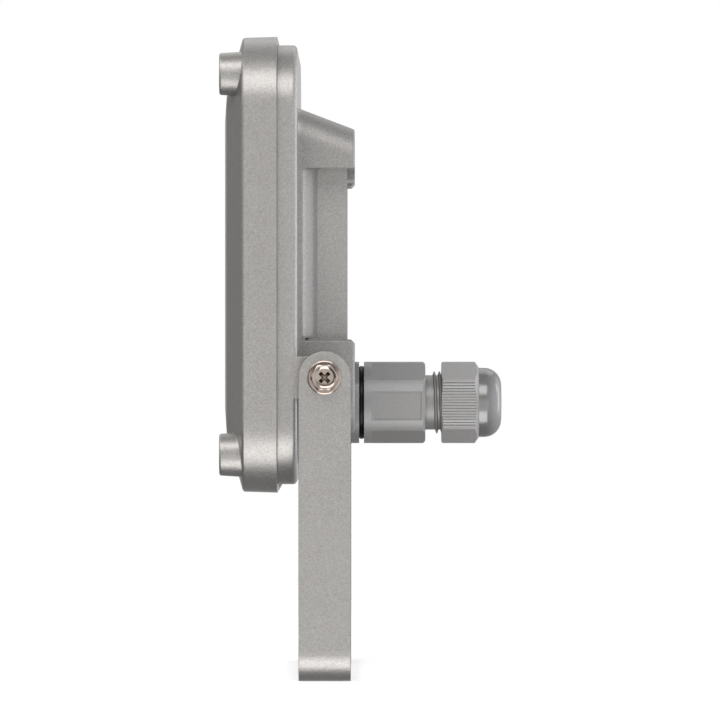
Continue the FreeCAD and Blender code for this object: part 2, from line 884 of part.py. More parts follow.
def make_barrel():
    """Hexagon barrel with a round collar over the terminals and a neck that ends in clamping fingers."""
    outer = gland_corner_diameter / 2
    turned_outline = turned(
        [
            (0, barrel_start),
            (outer, barrel_start),
            (outer, barrel_end - barrel_edge),
            (outer - barrel_edge, barrel_end),
            (0, barrel_end),
        ]
    )
    shell = gland_hexagon(gland_hex, barrel_start, barrel_end).common(turned_outline)

    reach = outer + overcut
    panel_end = barrel_end - panel_from_end
    for side in (-1, 1):
        low_x, high_x = sorted((side * (gland_hex / 2 - panel_depth), side * reach))
        low_z = gland_z - panel_height / 2
        shell = shell.cut(
            block(low_x, high_x, panel_end - panel_length, panel_end, low_z, low_z + panel_height)
        )
    turn_on_gland(shell, barrel_turn_deg)

    collar = rod_y(outer, barrel_start, barrel_start + collar_length, 0, gland_z)
    neck = rod_y(neck_radius, barrel_end - overcut, neck_end, 0, gland_z)
    shell = shell.fuse([collar, neck])

    socket_bore = socket_radius + thread_gap
    socket_end = flange_end + socket_length + fit_gap
    seal_bore = seal_radius + fit_gap
    throat = seal_bore - 2 * fit_gap
    shell = shell.cut(
        turned(
            [
                (0, barrel_start - overcut),
                (socket_bore, barrel_start - overcut),
                (socket_bore, socket_end),
                (throat, socket_end + socket_bore - throat),
                (throat, seal_ledge),
                (seal_bore, seal_ledge),
                (seal_bore, neck_end + overcut),
                (0, neck_end + overcut),
            ]
        )
    )
    slot_reach = thread_radius + overcut
    for index in range(finger_slots):
        slot = block(
            -slot_reach,
            slot_reach,
            neck_end - finger_length,
            neck_end + overcut,
            gland_z - finger_slot_width / 2,
            gland_z + finger_slot_width / 2,
        )
        turn_on_gland(slot, index * 180 / finger_slots)
        shell = shell.cut(slot)
    return shell


def make_terminal_block():
    """Round terminal block in the socket, with three through holes."""
    radius = socket_radius - socket_wall - fit_gap
    start = flange_end + socket_length - terminal_length
    core = rod_y(radius, start, start + terminal_length, 0, gland_z)
    for x, z in terminal_places():
        core = core.cut(rod_y(terminal_bore_radius, start - overcut, start + terminal_length + overcut, x, z))
    return core


def terminal_places():
    """Centres of the three conductors."""
    places = []
    for step in range(3):
        turn = math.radians(90 + 120 * step)
        places.append((terminal_ring_radius * math.cos(turn), gland_z + terminal_ring_radius * math.sin(turn)))
    return places


def make_sleeve(x, z):
    """Brass contact sleeve in one hole of the terminal block."""
    radius = terminal_bore_radius - thread_gap
    start = flange_end + socket_length - sleeve_length
    sleeve = rod_y(radius, start, start + sleeve_length, x, z)
    return sleeve.cut(rod_y(radius - sleeve_wall, start - overcut, start + sleeve_length + overcut, x, z))


def make_seal():
    """Soft cable seal inside the neck, with a wider head under the dome of the nut."""
    shoulder = neck_end + tighten_travel + fit_gap
    head_radius = cable_hole_radius + 2 * fit_gap
    return turned(
        [
            (seal_bore_radius, seal_start),
            (seal_radius, seal_start),
            (seal_radius, shoulder),
            (head_radius, shoulder),
            (head_radius, seal_end),
            (seal_bore_radius, seal_end),
        ]
    )


def make_rib_gaps():
    """Grooves that leave grip ribs on every second flat of the nut."""
    inside = gland_hexagon(gland_hex - 2 * rib_depth, nut_start - overcut, nut_hex_end)
    inside = inside.common(
        rod_y(gland_corner_diameter / 2 - rib_depth, nut_start - overcut, nut_hex_end, 0, gland_z)
    )
    gaps = []
    for index in range(rib_count + 1):
        z = gland_z + (index - rib_count / 2) * rib_pitch
        low_z = z - rib_gap / 2
        reach = gland_hex / 2 + overcut
        gap = block(reach / 2, reach, nut_start - overcut, nut_hex_end, low_z, low_z + rib_gap)
        gap = gap.cut(inside)
        for turn in (0, 120, 240):
            turned_gap = gap.copy()
            turn_on_gland(turned_gap, turn)
            gaps.append(turned_gap)
    return gaps


def make_sealing_nut():
    """Hexagon clamp nut with ribs on three flats, a domed end and the cable hole."""
    outer = gland_corner_diameter / 2
    lead_in = nut_chamfer / 3
    turned_outline = turned(
        [
            (0, nut_start),
            (outer - lead_in, nut_start),
            (outer, nut_start + lead_in),
            (outer, nut_hex_end - nut_chamfer),
            (outer - nut_chamfer * 4 / 3, nut_hex_end),
            (0, nut_hex_end),
        ]
    )
    nut = gland_hexagon(gland_hex, nut_start, nut_hex_end).common(turned_outline)
    dome = rod_y(dome_radius, nut_hex_end - overcut, nut_end, 0, gland_z)
    dome = round_edges_at(dome, dome_fillet, lambda edge: edge.BoundBox.YMin > nut_end - 0.01)
    nut = nut.fuse(dome).cut(make_rib_gaps())
    bore = thread_radius + 2 * thread_gap
    inside_end = nut_end - dome_wall
    head_room = cable_hole_radius + 3 * fit_gap
    turn_on_gland(nut, nut_turn_deg)
    return nut.cut(
        turned(
            [
                (0, nut_start - overcut),
                (bore, nut_start - overcut),
                (bore, nut_hex_end),
                (head_room, inside_end - fit_gap),
                (head_room, inside_end),
                (cable_hole_radius, inside_end),
                (cable_hole_radius, nut_end + overcut),
                (0, nut_end + overcut),
            ]
        )
    )


def make_parts():
    """Every piece by name."""
    parts = {
        "bracket": make_bracket(),
        "housing": make_housing(),
        "front_frame": make_front_frame(),
        "front_glass": make_glass(),
        "glass_gasket": make_gasket(),
        "reflector": make_reflector(),
        "led_carrier": make_led_carrier(),
        "led_chip_frame": make_chip_frame(),
        "led_chip": make_chip(),
        "led_driver": make_driver(),
        "pivot_screw_right": make_pivot_screw(1),
        "pivot_screw_left": make_pivot_screw(-1),
        "pivot_washer_right": make_pivot_washer(1),
        "pivot_washer_left": make_pivot_washer(-1),
        "gland_base": make_gland_base(),
        "gland_seal_ring": make_o_ring(),
        "terminal_barrel": make_barrel(),
        "terminal_block": make_terminal_block(),
        "cable_seal": make_seal(),
        "sealing_nut": make_sealing_nut(),
    }
    frame_seat = boss_tip + screw_recess_depth
    for number, (x, z) in enumerate(four_corners(boss_x, boss_z), 1):
        parts[f"frame_screw_{number}"] = make_pan_screw(
            x, z, frame_seat, frame_screw_length, frame_shank, frame_head_radius, frame_head_height
        )
    for number, (x, z) in enumerate(four_corners(led_screw_x, led_screw_z), 1):
        parts[f"led_screw_{number}"] = make_pan_screw(
            x, z, carrier_front, led_screw_length, small_shank, small_head_radius, small_head_height
        )
    for number, x in enumerate((-post_spread, post_spread), 1):
        parts[f"reflector_screw_{number}"] = make_pan_screw(
            x,
            head_z,
            reflector_back - reflector_sheet,
            post_screw_length,
            small_shank,
            small_head_radius,
            small_head_height,
        )
    for number, (x, z) in enumerate(terminal_places(), 1):
        parts[f"terminal_sleeve_{number}"] = make_sleeve(x, z)
    return parts


os.makedirs("parts", exist_ok=True)
for name, shape in make_parts().items():
    shape.exportStep(f"parts/{name}.step")
    print(name, len(shape.Solids), round(shape.Volume, 1), shape.isValid())
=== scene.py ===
import math

import bpy
from mathutils import Matrix, Vector


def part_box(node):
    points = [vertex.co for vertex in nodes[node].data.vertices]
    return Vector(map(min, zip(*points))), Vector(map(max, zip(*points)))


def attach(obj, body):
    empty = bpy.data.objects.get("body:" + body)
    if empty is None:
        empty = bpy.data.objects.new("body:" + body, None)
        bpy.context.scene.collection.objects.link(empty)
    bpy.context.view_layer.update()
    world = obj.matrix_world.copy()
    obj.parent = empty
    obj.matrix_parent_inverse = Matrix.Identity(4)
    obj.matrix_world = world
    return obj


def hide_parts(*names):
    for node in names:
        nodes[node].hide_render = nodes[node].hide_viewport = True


# Looks of the LED floodlight, in metres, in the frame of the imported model.
# +Z is up, -Y is the way the light goes, +X points from the lamp to the photograph's camera.

# Camera
camera_distance = 2.192
camera_y = 0.0099
camera_z = 0.0900
lens_mm = 377.9
sensor_mm = 36.0
clip_near = 0.05
clip_far = 20.0

# Studio, with light levels where 1 is white, and angles in degrees
white = (1.0, 1.0, 1.0)
cool = (0.955, 0.985, 1.035)
room_lobes = (  # axis, side, level, tint
    ("X", 1, 0.37, white),
    ("X", -1, 0.36, white),
    ("Y", 1, 1.50, cool),
    ("Y", -1, 0.08, white),
    ("Z", 1, 0.33, white),
    ("Z", -1, 0.05, white),
)
softbox_distance = 1.1
softboxes = (  # name, elevation, azimuth, width, height, level, tint
    ("upper_softbox", 43, 0, 0.75, 0.62, 3.05, white),
    ("middle_card", -10, 0, 1.32, 0.75, 0.7, white),
    ("lower_softbox", -50, 0, 0.75, 0.80, 3.4, white),
    ("upper_front", 45, -50, 0.66, 0.66, 2.3, white),
    ("gland_strip", 8, 108, 0.12, 0.90, 3.5, cool),
    ("gland_back", 10, 125, 0.60, 0.90, 0.6, white),
    ("rear_top", 50, 180, 1.10, 0.73, 0.9, white),
    ("front_soft", 30, -80, 1.15, 1.15, 0.9, white),
)
card_cone_inner = 14.0
card_cone_outer = 24.0

# Floor; the head's edge swings through its plane at the lower limit, and the floor is open there
floor_color = (0.8, 0.8, 0.8, 1.0)
floor_lift = 0.38
floor_radius = 0.75
floor_fade = 0.35
floor_quarter_steps = 24
opening_half_x = 0.5
opening_y = (0.0135, 0.0395)

# Paint
paint_color = (0.360, 0.347, 0.334)
paint_metallic = 0.75
paint_roughness = 0.40
paint_roughness_spread = 0.06
paint_roughness_size = 0.0009
flake_size = 0.00030
flake_spread = 0.14
cloud_size = 0.012
cloud_spread = 0.04
powder_size = 0.00055
powder_depth = 0.00003
paint_edge = 0.00035
rear_blend = 0.0015
# painted shade: darker colour on the housing's rear members above and below the recess
member_painted_shade = 0.86
rear_dullness = 1.25

# Housing
rim_back = -0.00775
recess_top = 0.14427
recess_bottom = 0.09627

# Plastic of the gland
plastic_color = (0.222, 0.215, 0.210)
plastic_ior = 2.1
plastic_roughness = 0.44
plastic_roughness_spread = 0.03
plastic_roughness_size = 0.0009
plastic_speck_size = 0.00035
plastic_speck_spread = 0.06
plastic_grain_size = 0.0006
plastic_grain_depth = 0.000008
plastic_edge = 0.00018
# painted shade: the gland's flange is darker than the barrel
flange_painted_shade = 0.84
# painted light: the nut is lighter than the barrel, standing in for the light its rib crests catch
nut_painted_light = 1.25
dome_tone = 0.62
dome_roughness = 0.22
dome_length = 0.0066
dome_blend = 0.0002

# Nickel of the pivot screws and washers
nickel_color = (0.40, 0.338, 0.298)
# painted shade: the colour that the nickel's hollows are darkened to
nickel_shadow = (0.075, 0.045, 0.025)
nickel_stain_size = 0.0015
nickel_stains = (0.92, 1.05)
nickel_hollow_reach = 0.0016
nickel_hollow_range = (0.35, 0.85)
nickel_roughness_size = 0.0006
nickel_roughness = (0.10, 0.20)
nickel_grain_size = 0.0005
nickel_grain_depth = 0.000004
nickel_edge = 0.00012

# Glass
glass_color = (0.93, 0.97, 0.95, 1.0)
glass_ior = 1.5
glass_haze_size = 0.02
glass_haze = 0.012

# Reflector
dimple_size = 0.0026
dimple_depth = 0.00019
hammered_color = (0.58, 0.59, 0.60)
hammered_cloud_size = 0.01
hammered_clouds = (0.94, 1.03)
hammered_roughness_size = 0.002
hammered_roughness = (0.22, 0.32)

# Light source
phosphor_color = (0.72, 0.45, 0.028)
die_pitch = 0.0022
die_edge = (0.2, 0.9)
die_shade = 0.66
phosphor_roughness_size = 0.002
phosphor_roughness = (0.28, 0.40)
phosphor_subsurface = 0.1
phosphor_radius = (0.001, 0.0006, 0.0002)
phosphor_grain_size = 0.0012
phosphor_grain_depth = 0.00003
phosphor_edge = 0.0003

# Simple materials: noise size and range of the shades and of the roughness, size and depth of the grain, and
# radius of the softened edges
simple_looks = {
    "black_seal_rubber": dict(
        color=(0.0035, 0.003, 0.003), shade_size=0.002, shades=(0.8, 1.3), roughness_size=0.001,
        roughness=(0.22, 0.36), grain_size=0.0008, grain_depth=0.00001, edge=0.0002, specular_level=0.22,
    ),
    "zinc_plate": dict(
        color=(0.52, 0.53, 0.55), shade_size=0.0004, shades=(0.85, 1.1), roughness_size=0.0012,
        roughness=(0.25, 0.42), grain_size=0.0006, grain_depth=0.000008, edge=0.00018, metallic=1.0,
        speckled=True,
    ),
    "turned_brass": dict(
        color=(0.71, 0.50, 0.20), shade_size=0.001, shades=(0.85, 1.1), roughness_size=0.0006,
        roughness=(0.20, 0.32), grain_size=0.0004, grain_depth=0.000006, edge=0.0001, metallic=1.0,
    ),
    "white_frame_plastic": dict(
        color=(0.78, 0.78, 0.76), shade_size=0.0048, shades=(0.93, 1.06), roughness_size=0.0012,
        roughness=(0.40, 0.52), grain_size=0.0006, grain_depth=0.00001, edge=0.0002,
    ),
    "board_aluminium": dict(
        color=(0.62, 0.63, 0.64), shade_size=0.0040, shades=(0.93, 1.06), roughness_size=0.0010,
        roughness=(0.30, 0.42), grain_size=0.0005, grain_depth=0.000008, edge=0.0002, metallic=1.0,
    ),
    "white_silicone": dict(
        color=(0.55, 0.55, 0.53), shade_size=0.0064, shades=(0.93, 1.06), roughness_size=0.0016,
        roughness=(0.45, 0.57), grain_size=0.0008, grain_depth=0.00002, edge=0.0002,
    ),
    "potting_black": dict(
        color=(0.02, 0.02, 0.02), shade_size=0.0080, shades=(0.93, 1.06), roughness_size=0.0020,
        roughness=(0.50, 0.62), grain_size=0.0010, grain_depth=0.00004, edge=0.0002,
    ),
    "white_terminal_plastic": dict(
        color=(0.70, 0.70, 0.67), shade_size=0.0040, shades=(0.93, 1.06), roughness_size=0.0010,
        roughness=(0.35, 0.47), grain_size=0.0005, grain_depth=0.00001, edge=0.0002,
    ),
}

# Pivot screws
screw_shank = 0.0020
screw_head = 0.0039
screw_flange = 0.0048
screw_flange_edge = (  # inset from the flange, height above the seat
    (0.0, 0.00035),
    (0.00008, 0.00048),
    (0.00022, 0.00057),
    (0.00040, 0.00062),
)
screw_flange_slope = 0.16
screw_flat = 0.0035
screw_chamfer_inset = 0.00005
screw_chamfer_deg = 30
screw_dish = 0.0031
screw_dish_land = 0.00010
screw_dish_lip = 0.00008
screw_dish_depth = 0.0004
screw_dish_steps = (  # share of the dish's radius, share of its depth
    (0.93, 0.55),
    (0.84, 0.90),
    (0.72, 1.08),
    (0.50, 1.22),
    (0.25, 1.28),
)
screw_sharp_deg = 25
screw_segments = 96
cross_arm = 0.0020
cross_width = 0.0010
cross_depth = 0.0015
cross_turn_deg = 45.0
cross_floor = (0.55, 0.35)  # half length and half width, as shares of arm and width
cross_mouth = (1.05, 0.55)

# Clamp thread of the gland
thread_root = 0.0079
thread_crest = 0.0090
thread_pitch = 0.0015
thread_first_crest = 0.0021
thread_run_in = 0.25
thread_crest_width = 0.00030
thread_foot_width = 0.00105
thread_sink = 0.00010
steps_per_turn = 96

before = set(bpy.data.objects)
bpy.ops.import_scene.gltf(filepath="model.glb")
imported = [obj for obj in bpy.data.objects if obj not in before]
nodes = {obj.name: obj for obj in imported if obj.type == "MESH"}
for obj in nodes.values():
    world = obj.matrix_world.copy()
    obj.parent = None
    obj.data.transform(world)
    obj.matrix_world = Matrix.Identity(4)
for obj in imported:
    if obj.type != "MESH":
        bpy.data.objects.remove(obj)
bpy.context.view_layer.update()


class Graph:
    """Short way to add and link the shader nodes of one material or world."""

    def __init__(self, tree):
        self.tree = tree
        tree.nodes.clear()

    def add(self, kind, links=None, values=None, **settings):
        """New node; links go from input names to sockets, values to plain numbers or colours."""
        node = self.tree.nodes.new(kind)
        for name, value in settings.items():
            setattr(node, name, value)
        for name, value in (values or {}).items():
            node.inputs[name].default_value = value
        for name, socket in (links or {}).items():
            self.tree.links.new(socket, node.inputs[name])
        return node

    def place(self):
        """Place on the piece, in metres, that moves with it."""
        return self.add("ShaderNodeTexCoord").outputs["Object"]

    def split(self, vector):
        """The X, Y and Z of a vector."""
        return self.add("ShaderNodeSeparateXYZ", {"Vector": vector}).outputs

    def noise(self, size, detail=2.0):
        """Soft noise with features of about the given size."""
        values = {"Scale": 1.0 / size, "Detail": detail, "Roughness": 0.5}
        return self.add("ShaderNodeTexNoise", {"Vector": self.place()}, values).outputs["Fac"]

    def cells(self, size):
        """One random number for each small cell of about the given size."""
        node = self.add("ShaderNodeTexVoronoi", {"Vector": self.place()}, {"Scale": 1.0 / size})
        return self.add("ShaderNodeSeparateColor", {"Color": node.outputs["Color"]}).outputs[0]

    def spread(self, socket, low, high, start=0.0, end=1.0):
        """Map a number from start..end onto low..high."""
        values = {"From Min": start, "From Max": end, "To Min": low, "To Max": high}
        return self.add("ShaderNodeMapRange", {"Value": socket}, values).outputs["Result"]

    def times(self, first, second):
        """Product of two numbers."""
        return self.add("ShaderNodeMath", {0: first, 1: second}, operation="MULTIPLY").outputs[0]

    def larger(self, first, second):
        """The larger of two numbers."""
        return self.add("ShaderNodeMath", {0: first, 1: second}, operation="MAXIMUM").outputs[0]

    def shade(self, color, factor):
        """Colour made lighter or darker by a factor around 1."""
        node = self.add("ShaderNodeVectorMath", {"Scale": factor}, {0: color}, operation="SCALE")
        return node.outputs["Vector"]

    def soft_edges(self, radius):
        """Normal that turns softly round the piece's edges."""
        return self.add("ShaderNodeBevel", {}, {"Radius": radius}, samples=6).outputs["Normal"]

    def bump(self, height, depth, normal=None):
        """Normal disturbed by a height of the given depth in metres."""
        links = {"Height": height}
        if normal is not None:
            links["Normal"] = normal
        return self.add("ShaderNodeBump", links, {"Strength": 1.0, "Distance": depth}).outputs["Normal"]

    def finish(self, **inputs):
        """Main shader and output; sockets are linked and plain values are set."""
        shader = self.add("ShaderNodeBsdfPrincipled")
        for name, value in inputs.items():
            target = shader.inputs[name.replace("_", " ")]
            if isinstance(value, bpy.types.NodeSocket):
                self.tree.links.new(value, target)
            else:
                target.default_value = value
        self.add("ShaderNodeOutputMaterial", {"Surface": shader.outputs[0]})


def new_material(name):
    """Empty node material and its graph."""
    material = bpy.data.materials.new(name)
    material.use_nodes = True
    return material, Graph(material.node_tree)


def make_paint(name, rear_from=None):
    """Silver-grey powder coat with fine metal flakes; behind the given place it is a little duller, and on
    the members above and below the recess its colour is darkened as painted shade.
    """
    material, graph = new_material(name)
    flakes = graph.spread(graph.cells(flake_size), 1 - flake_spread, 1 + flake_spread)
    clouds = graph.spread(graph.noise(cloud_size, 3.0), 1 - cloud_spread, 1 + cloud_spread)
    tone = graph.times(flakes, clouds)
    roughness = graph.spread(
        graph.noise(paint_roughness_size),
        paint_roughness - paint_roughness_spread,
        paint_roughness + paint_roughness_spread,
    )
    if rear_from is not None:
        place = graph.split(graph.place())
        rear = graph.spread(place["Y"], 0.0, 1.0, rear_from, rear_from + rear_blend)
        above = graph.spread(place["Z"], 0.0, 1.0, recess_top - rear_blend, recess_top)
        below = graph.spread(place["Z"], 1.0, 0.0, recess_bottom, recess_bottom + rear_blend)
        # Painted shade: the rear members above and below the recess are darkened
        painted_shade_mask = graph.times(rear, graph.larger(above, below))
        tone = graph.times(tone, graph.spread(painted_shade_mask, 1.0, member_painted_shade))
        roughness = graph.times(roughness, graph.spread(rear, 1.0, rear_dullness))
    powder = graph.noise(powder_size, 1.0)
    graph.finish(
        Base_Color=graph.shade(paint_color, tone),
        Metallic=paint_metallic,
        Roughness=roughness,
        Normal=graph.bump(powder, powder_depth, graph.soft_edges(paint_edge)),
    )
    return material


def make_plastic(name, tone, dome_start=None):
    """Dull grey glass-filled polyamide of the gland; from the given place on it is darker and glossy."""
    material, graph = new_material(name)
    specks = graph.cells(plastic_speck_size)
    shades = graph.spread(specks, (1 - plastic_speck_spread) * tone, (1 + plastic_speck_spread) * tone)
    if dome_start is None:
        roughness = graph.spread(
            graph.noise(plastic_roughness_size),
            plastic_roughness - plastic_roughness_spread,
            plastic_roughness + plastic_roughness_spread,
        )
    else:
        along = graph.split(graph.place())["Y"]
        on_dome = graph.spread(along, 0.0, 1.0, dome_start - dome_blend, dome_start + dome_blend)
        shades = graph.times(shades, graph.spread(on_dome, 1.0, dome_tone / tone))
        roughness = graph.spread(on_dome, plastic_roughness, dome_roughness)
    grain = graph.noise(plastic_grain_size)
    graph.finish(
        Base_Color=graph.shade(plastic_color, shades),
        Roughness=roughness,
        IOR=plastic_ior,
        Normal=graph.bump(grain, plastic_grain_depth, graph.soft_edges(plastic_edge)),
    )
    return material


def make_nickel():
    """Bright nickel plate, a little warm; its hollows, such as the cross recess, are darkened to brown as
    painted shade.
    """
    material, graph = new_material("bright_nickel")
    stains = graph.spread(graph.noise(nickel_stain_size, 3.0), *nickel_stains)
    # Painted shade: ambient occlusion darkens the hollows towards nickel_shadow
    hollow = graph.add(
        "ShaderNodeAmbientOcclusion", {}, {"Distance": nickel_hollow_reach}, samples=8, only_local=True
    )
    open_face = graph.spread(hollow.outputs["AO"], 0.0, 1.0, *nickel_hollow_range)
    mixed = graph.add(
        "ShaderNodeMix",
        {"Factor": open_face, 7: graph.shade(nickel_color, stains)},
        {6: (*nickel_shadow, 1.0)},
        data_type="RGBA",
    )
    grain = graph.noise(nickel_grain_size)
    graph.finish(
        Base_Color=mixed.outputs[2],
        Metallic=1.0,
        Roughness=graph.spread(graph.noise(nickel_roughness_size), *nickel_roughness),
        Normal=graph.bump(grain, nickel_grain_depth, graph.soft_edges(nickel_edge)),
    )
    return material


def make_glass():
    """Clear toughened pane with a faint green body colour."""
    material, graph = new_material("toughened_glass")
    graph.finish(
        Base_Color=glass_color,
        Roughness=graph.spread(graph.noise(glass_haze_size, 3.0), 0.0, glass_haze),
        IOR=glass_ior,
        Transmission_Weight=1.0,
    )
    return material


def make_hammered_metal():
    """Bright aluminium sheet with a pressed pattern of small dimples."""
    material, graph = new_material("hammered_aluminium")
    scale = {"Scale": 1.0 / dimple_size}
    dimples = graph.add("ShaderNodeTexVoronoi", {"Vector": graph.place()}, scale, feature="SMOOTH_F1")
    clouds = graph.spread(graph.noise(hammered_cloud_size), *hammered_clouds)
    graph.finish(
        Base_Color=graph.shade(hammered_color, clouds),
        Metallic=1.0,
        Roughness=graph.spread(graph.noise(hammered_roughness_size), *hammered_roughness),
        Normal=graph.bump(dimples.outputs["Distance"], dimple_depth),
    )
    return material


def make_phosphor():
    """Yellow silicone over the light source, with the faint rows of dies under it."""
    material, graph = new_material("yellow_phosphor")
    low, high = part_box("led_chip")
    centre = (low + high) / 2
    shifted = graph.add("ShaderNodeVectorMath", {0: graph.place()}, {1: centre}, operation="SUBTRACT")
    place = graph.split(shifted.outputs[0])
    rows = []
    for axis in ("X", "Z"):
        waves = {1: 2 * math.pi / die_pitch}
        turn = graph.add("ShaderNodeMath", {0: place[axis]}, waves, operation="MULTIPLY").outputs[0]
        wave = graph.add("ShaderNodeMath", {0: turn}, operation="COSINE").outputs[0]
        rows.append(graph.spread(wave, 0.0, 1.0, *die_edge))
    dies = graph.times(*rows)
    grain = graph.noise(phosphor_grain_size)
    graph.finish(
        Base_Color=graph.shade(phosphor_color, graph.spread(dies, 1.0, die_shade)),
        Roughness=graph.spread(graph.noise(phosphor_roughness_size), *phosphor_roughness),
        Subsurface_Weight=phosphor_subsurface,
        Subsurface_Radius=phosphor_radius,
        Normal=graph.bump(grain, phosphor_grain_depth, graph.soft_edges(phosphor_edge)),
    )
    return material


def make_simple(name):
    """One of the simple materials: a colour with slight shade changes, uneven gloss and fine grain."""
    look = simple_looks[name]
    material, graph = new_material(name)
    if look.get("speckled"):
        pattern = graph.cells(look["shade_size"])
    else:
        pattern = graph.noise(look["shade_size"], 3.0)
    grain = graph.noise(look["grain_size"])
    inputs = dict(
        Base_Color=graph.shade(look["color"], graph.spread(pattern, *look["shades"])),
        Metallic=look.get("metallic", 0.0),
        Roughness=graph.spread(graph.noise(look["roughness_size"]), *look["roughness"]),
        Normal=graph.bump(grain, look["grain_depth"], graph.soft_edges(look["edge"])),
    )
    if "specular_level" in look:
        inputs["Specular_IOR_Level"] = look["specular_level"]
    graph.finish(**inputs)
    return material


def new_piece(name, vertices, faces):
    """Mesh object in the scene from points and faces."""
    mesh = bpy.data.meshes.new(name)
    mesh.from_pydata(vertices, [], faces)
    mesh.validate()
    mesh.update()
    piece = bpy.data.objects.new(name, mesh)
    bpy.context.scene.collection.objects.link(piece)
    return piece


def make_helix_thread():
    """Clamp thread round the neck of the barrel: one ridge that winds along the gland's axis."""
    barrel_low, barrel_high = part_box("terminal_barrel")
    axis_z = (barrel_low.z + barrel_high.z) / 2
    run_in = steps_per_turn * thread_run_in
    first_step = -int(run_in)
    first_crest_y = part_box("sealing_nut")[0].y - thread_first_crest
    start = first_crest_y + thread_pitch * first_step / steps_per_turn
    end = barrel_high.y - thread_pitch / 2
    count = int((end - start) / thread_pitch * steps_per_turn)
    foot = thread_root - thread_sink
    vertices = []
    for step in range(count + 1):
        turn = 2 * math.pi * (step + first_step) / steps_per_turn
        grown = min(1.0, step / run_in, (count - step) / run_in)
        along = start + thread_pitch * step / steps_per_turn
        crest = thread_root + (thread_crest - thread_root) * grown
        section = (
            (foot, -thread_foot_width / 2),
            (crest, -thread_crest_width / 2),
            (crest, thread_crest_width / 2),
            (foot, thread_foot_width / 2),
        )
        for radius, offset in section:
            point = (radius * math.sin(turn), along + offset, axis_z + radius * math.cos(turn))
            vertices.append(point)
    faces = [(0, 1, 2, 3)]
    for step in range(count):
        here = 4 * step
        for side in range(4):
            after = (side + 1) % 4
            faces.append((here + side, here + 4 + side, here + 4 + after, here + after))
    last = 4 * count
    faces.append((last + 3, last + 2, last + 1, last))
    thread = new_piece("clamp_thread", vertices, faces)
    thread.data.polygons.foreach_set("use_smooth", [True] * len(thread.data.polygons))
    return thread


def screw_rings(end, seat, tip):
    """Outline of the screw from shank to dish: for each ring its radius and place along, by the turn."""
    chamfer_start = screw_flat - screw_chamfer_inset
    chamfer_slope = math.tan(math.radians(screw_chamfer_deg))
    edge_inset, edge_height = screw_flange_edge[-1]
    edge_radius = screw_flange - edge_inset

    def fixed(radius, along):
        return lambda turn: (radius, along)

    def hexagon(turn):
        return screw_flat / math.cos(turn % math.radians(60) - math.radians(30))

    def hexagon_foot(turn):
        rise = (edge_radius - hexagon(turn)) * screw_flange_slope
        return hexagon(turn), seat + edge_height + rise

    def hexagon_top(turn):
        return hexagon(turn), tip - (hexagon(turn) - chamfer_start) * chamfer_slope

    rings = [fixed(screw_shank, end), fixed(screw_shank, seat), fixed(screw_flange, seat)]
    rings += [fixed(screw_flange - inset, seat + height) for inset, height in screw_flange_edge]
    rings += [hexagon_foot, hexagon_top]
    rings += [fixed(chamfer_start, tip), fixed(screw_dish + screw_dish_land, tip)]
    rings.append(fixed(screw_dish, tip - screw_dish_lip))
    for radius_share, depth_share in screw_dish_steps:
        rings.append(fixed(screw_dish * radius_share, tip - screw_dish_depth * depth_share))
    return rings


def make_cross_cutter(tip, turn_deg):
    """One arm of the cross recess: a bar that narrows towards its floor."""
    turn = math.radians(turn_deg)
    floor_x = tip - screw_dish_depth - cross_depth
    points = []
    for x, (length_share, width_share) in ((floor_x, cross_floor), (tip, cross_mouth)):
        half_length = cross_arm * length_share
        half_width = cross_width * width_share
        for u, v in ((-1, -1), (1, -1), (1, 1), (-1, 1)):
            y = u * half_length * math.cos(turn) - v * half_width * math.sin(turn)
            z = u * half_length * math.sin(turn) + v * half_width * math.cos(turn)
            points.append((x, y, z))
    sides = [(3, 2, 1, 0), (4, 5, 6, 7)]
    for corner in range(4):
        after = (corner + 1) % 4
        sides.append((corner, after, 4 + after, 4 + corner))
    return new_piece("cross_cutter", points, sides)


def make_hexagon_screw(node_name):
    """Flange screw with a sloping flange, a chamfered hexagon, a dished face and a tapered cross recess."""
    low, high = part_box(node_name)
    tip = max(abs(low.x), abs(high.x))
    end = min(abs(low.x), abs(high.x))
    rings = screw_rings(end, tip - screw_head, tip)
    vertices = []
    for ring in rings:
        for step in range(screw_segments):
            turn = 2 * math.pi * step / screw_segments
            radius, along = ring(turn)
            vertices.append((along, radius * math.cos(turn), radius * math.sin(turn)))
    faces = [tuple(reversed(range(screw_segments)))]
    for here in range(0, (len(rings) - 1) * screw_segments, screw_segments):
        above = here + screw_segments
        for step in range(screw_segments):
            after = (step + 1) % screw_segments
            faces.append((here + step, here + after, above + after, above + step))
    last = (len(rings) - 1) * screw_segments
    faces.append(tuple(range(last, last + screw_segments)))
    screw = new_piece(f"{node_name}_look", vertices, faces)

    cutters = [make_cross_cutter(tip, cross_turn_deg + 90 * arm) for arm in range(2)]
    for cutter in cutters:
        cut = screw.modifiers.new("cross", "BOOLEAN")
        cut.operation = "DIFFERENCE"
        cut.solver = "EXACT"
        cut.object = cutter
    bpy.context.view_layer.update()
    cut_mesh = bpy.data.meshes.new_from_object(screw.evaluated_get(bpy.context.evaluated_depsgraph_get()))
    screw.modifiers.clear()
    for cutter in cutters:
        bpy.data.objects.remove(cutter)

    turned = Matrix.Rotation(0.0 if high.x > 0 else math.pi, 4, "Z")
    cut_mesh.transform(Matrix.Translation((0, 0, (low.z + high.z) / 2)) @ turned)
    cut_mesh.polygons.foreach_set("use_smooth", [True] * len(cut_mesh.polygons))
    cut_mesh.set_sharp_from_angle(angle=math.radians(screw_sharp_deg))
    screw.data = cut_mesh
    return screw


def dress(node_names, material):
    """Give one material to the named CAD pieces."""
    for name in node_names:
        mesh = nodes[name].data
        mesh.materials.clear()
        mesh.materials.append(material)


def numbered(stem, count):
    """Names of repeated pieces."""
    return [f"{stem}_{number}" for number in range(1, count + 1)]


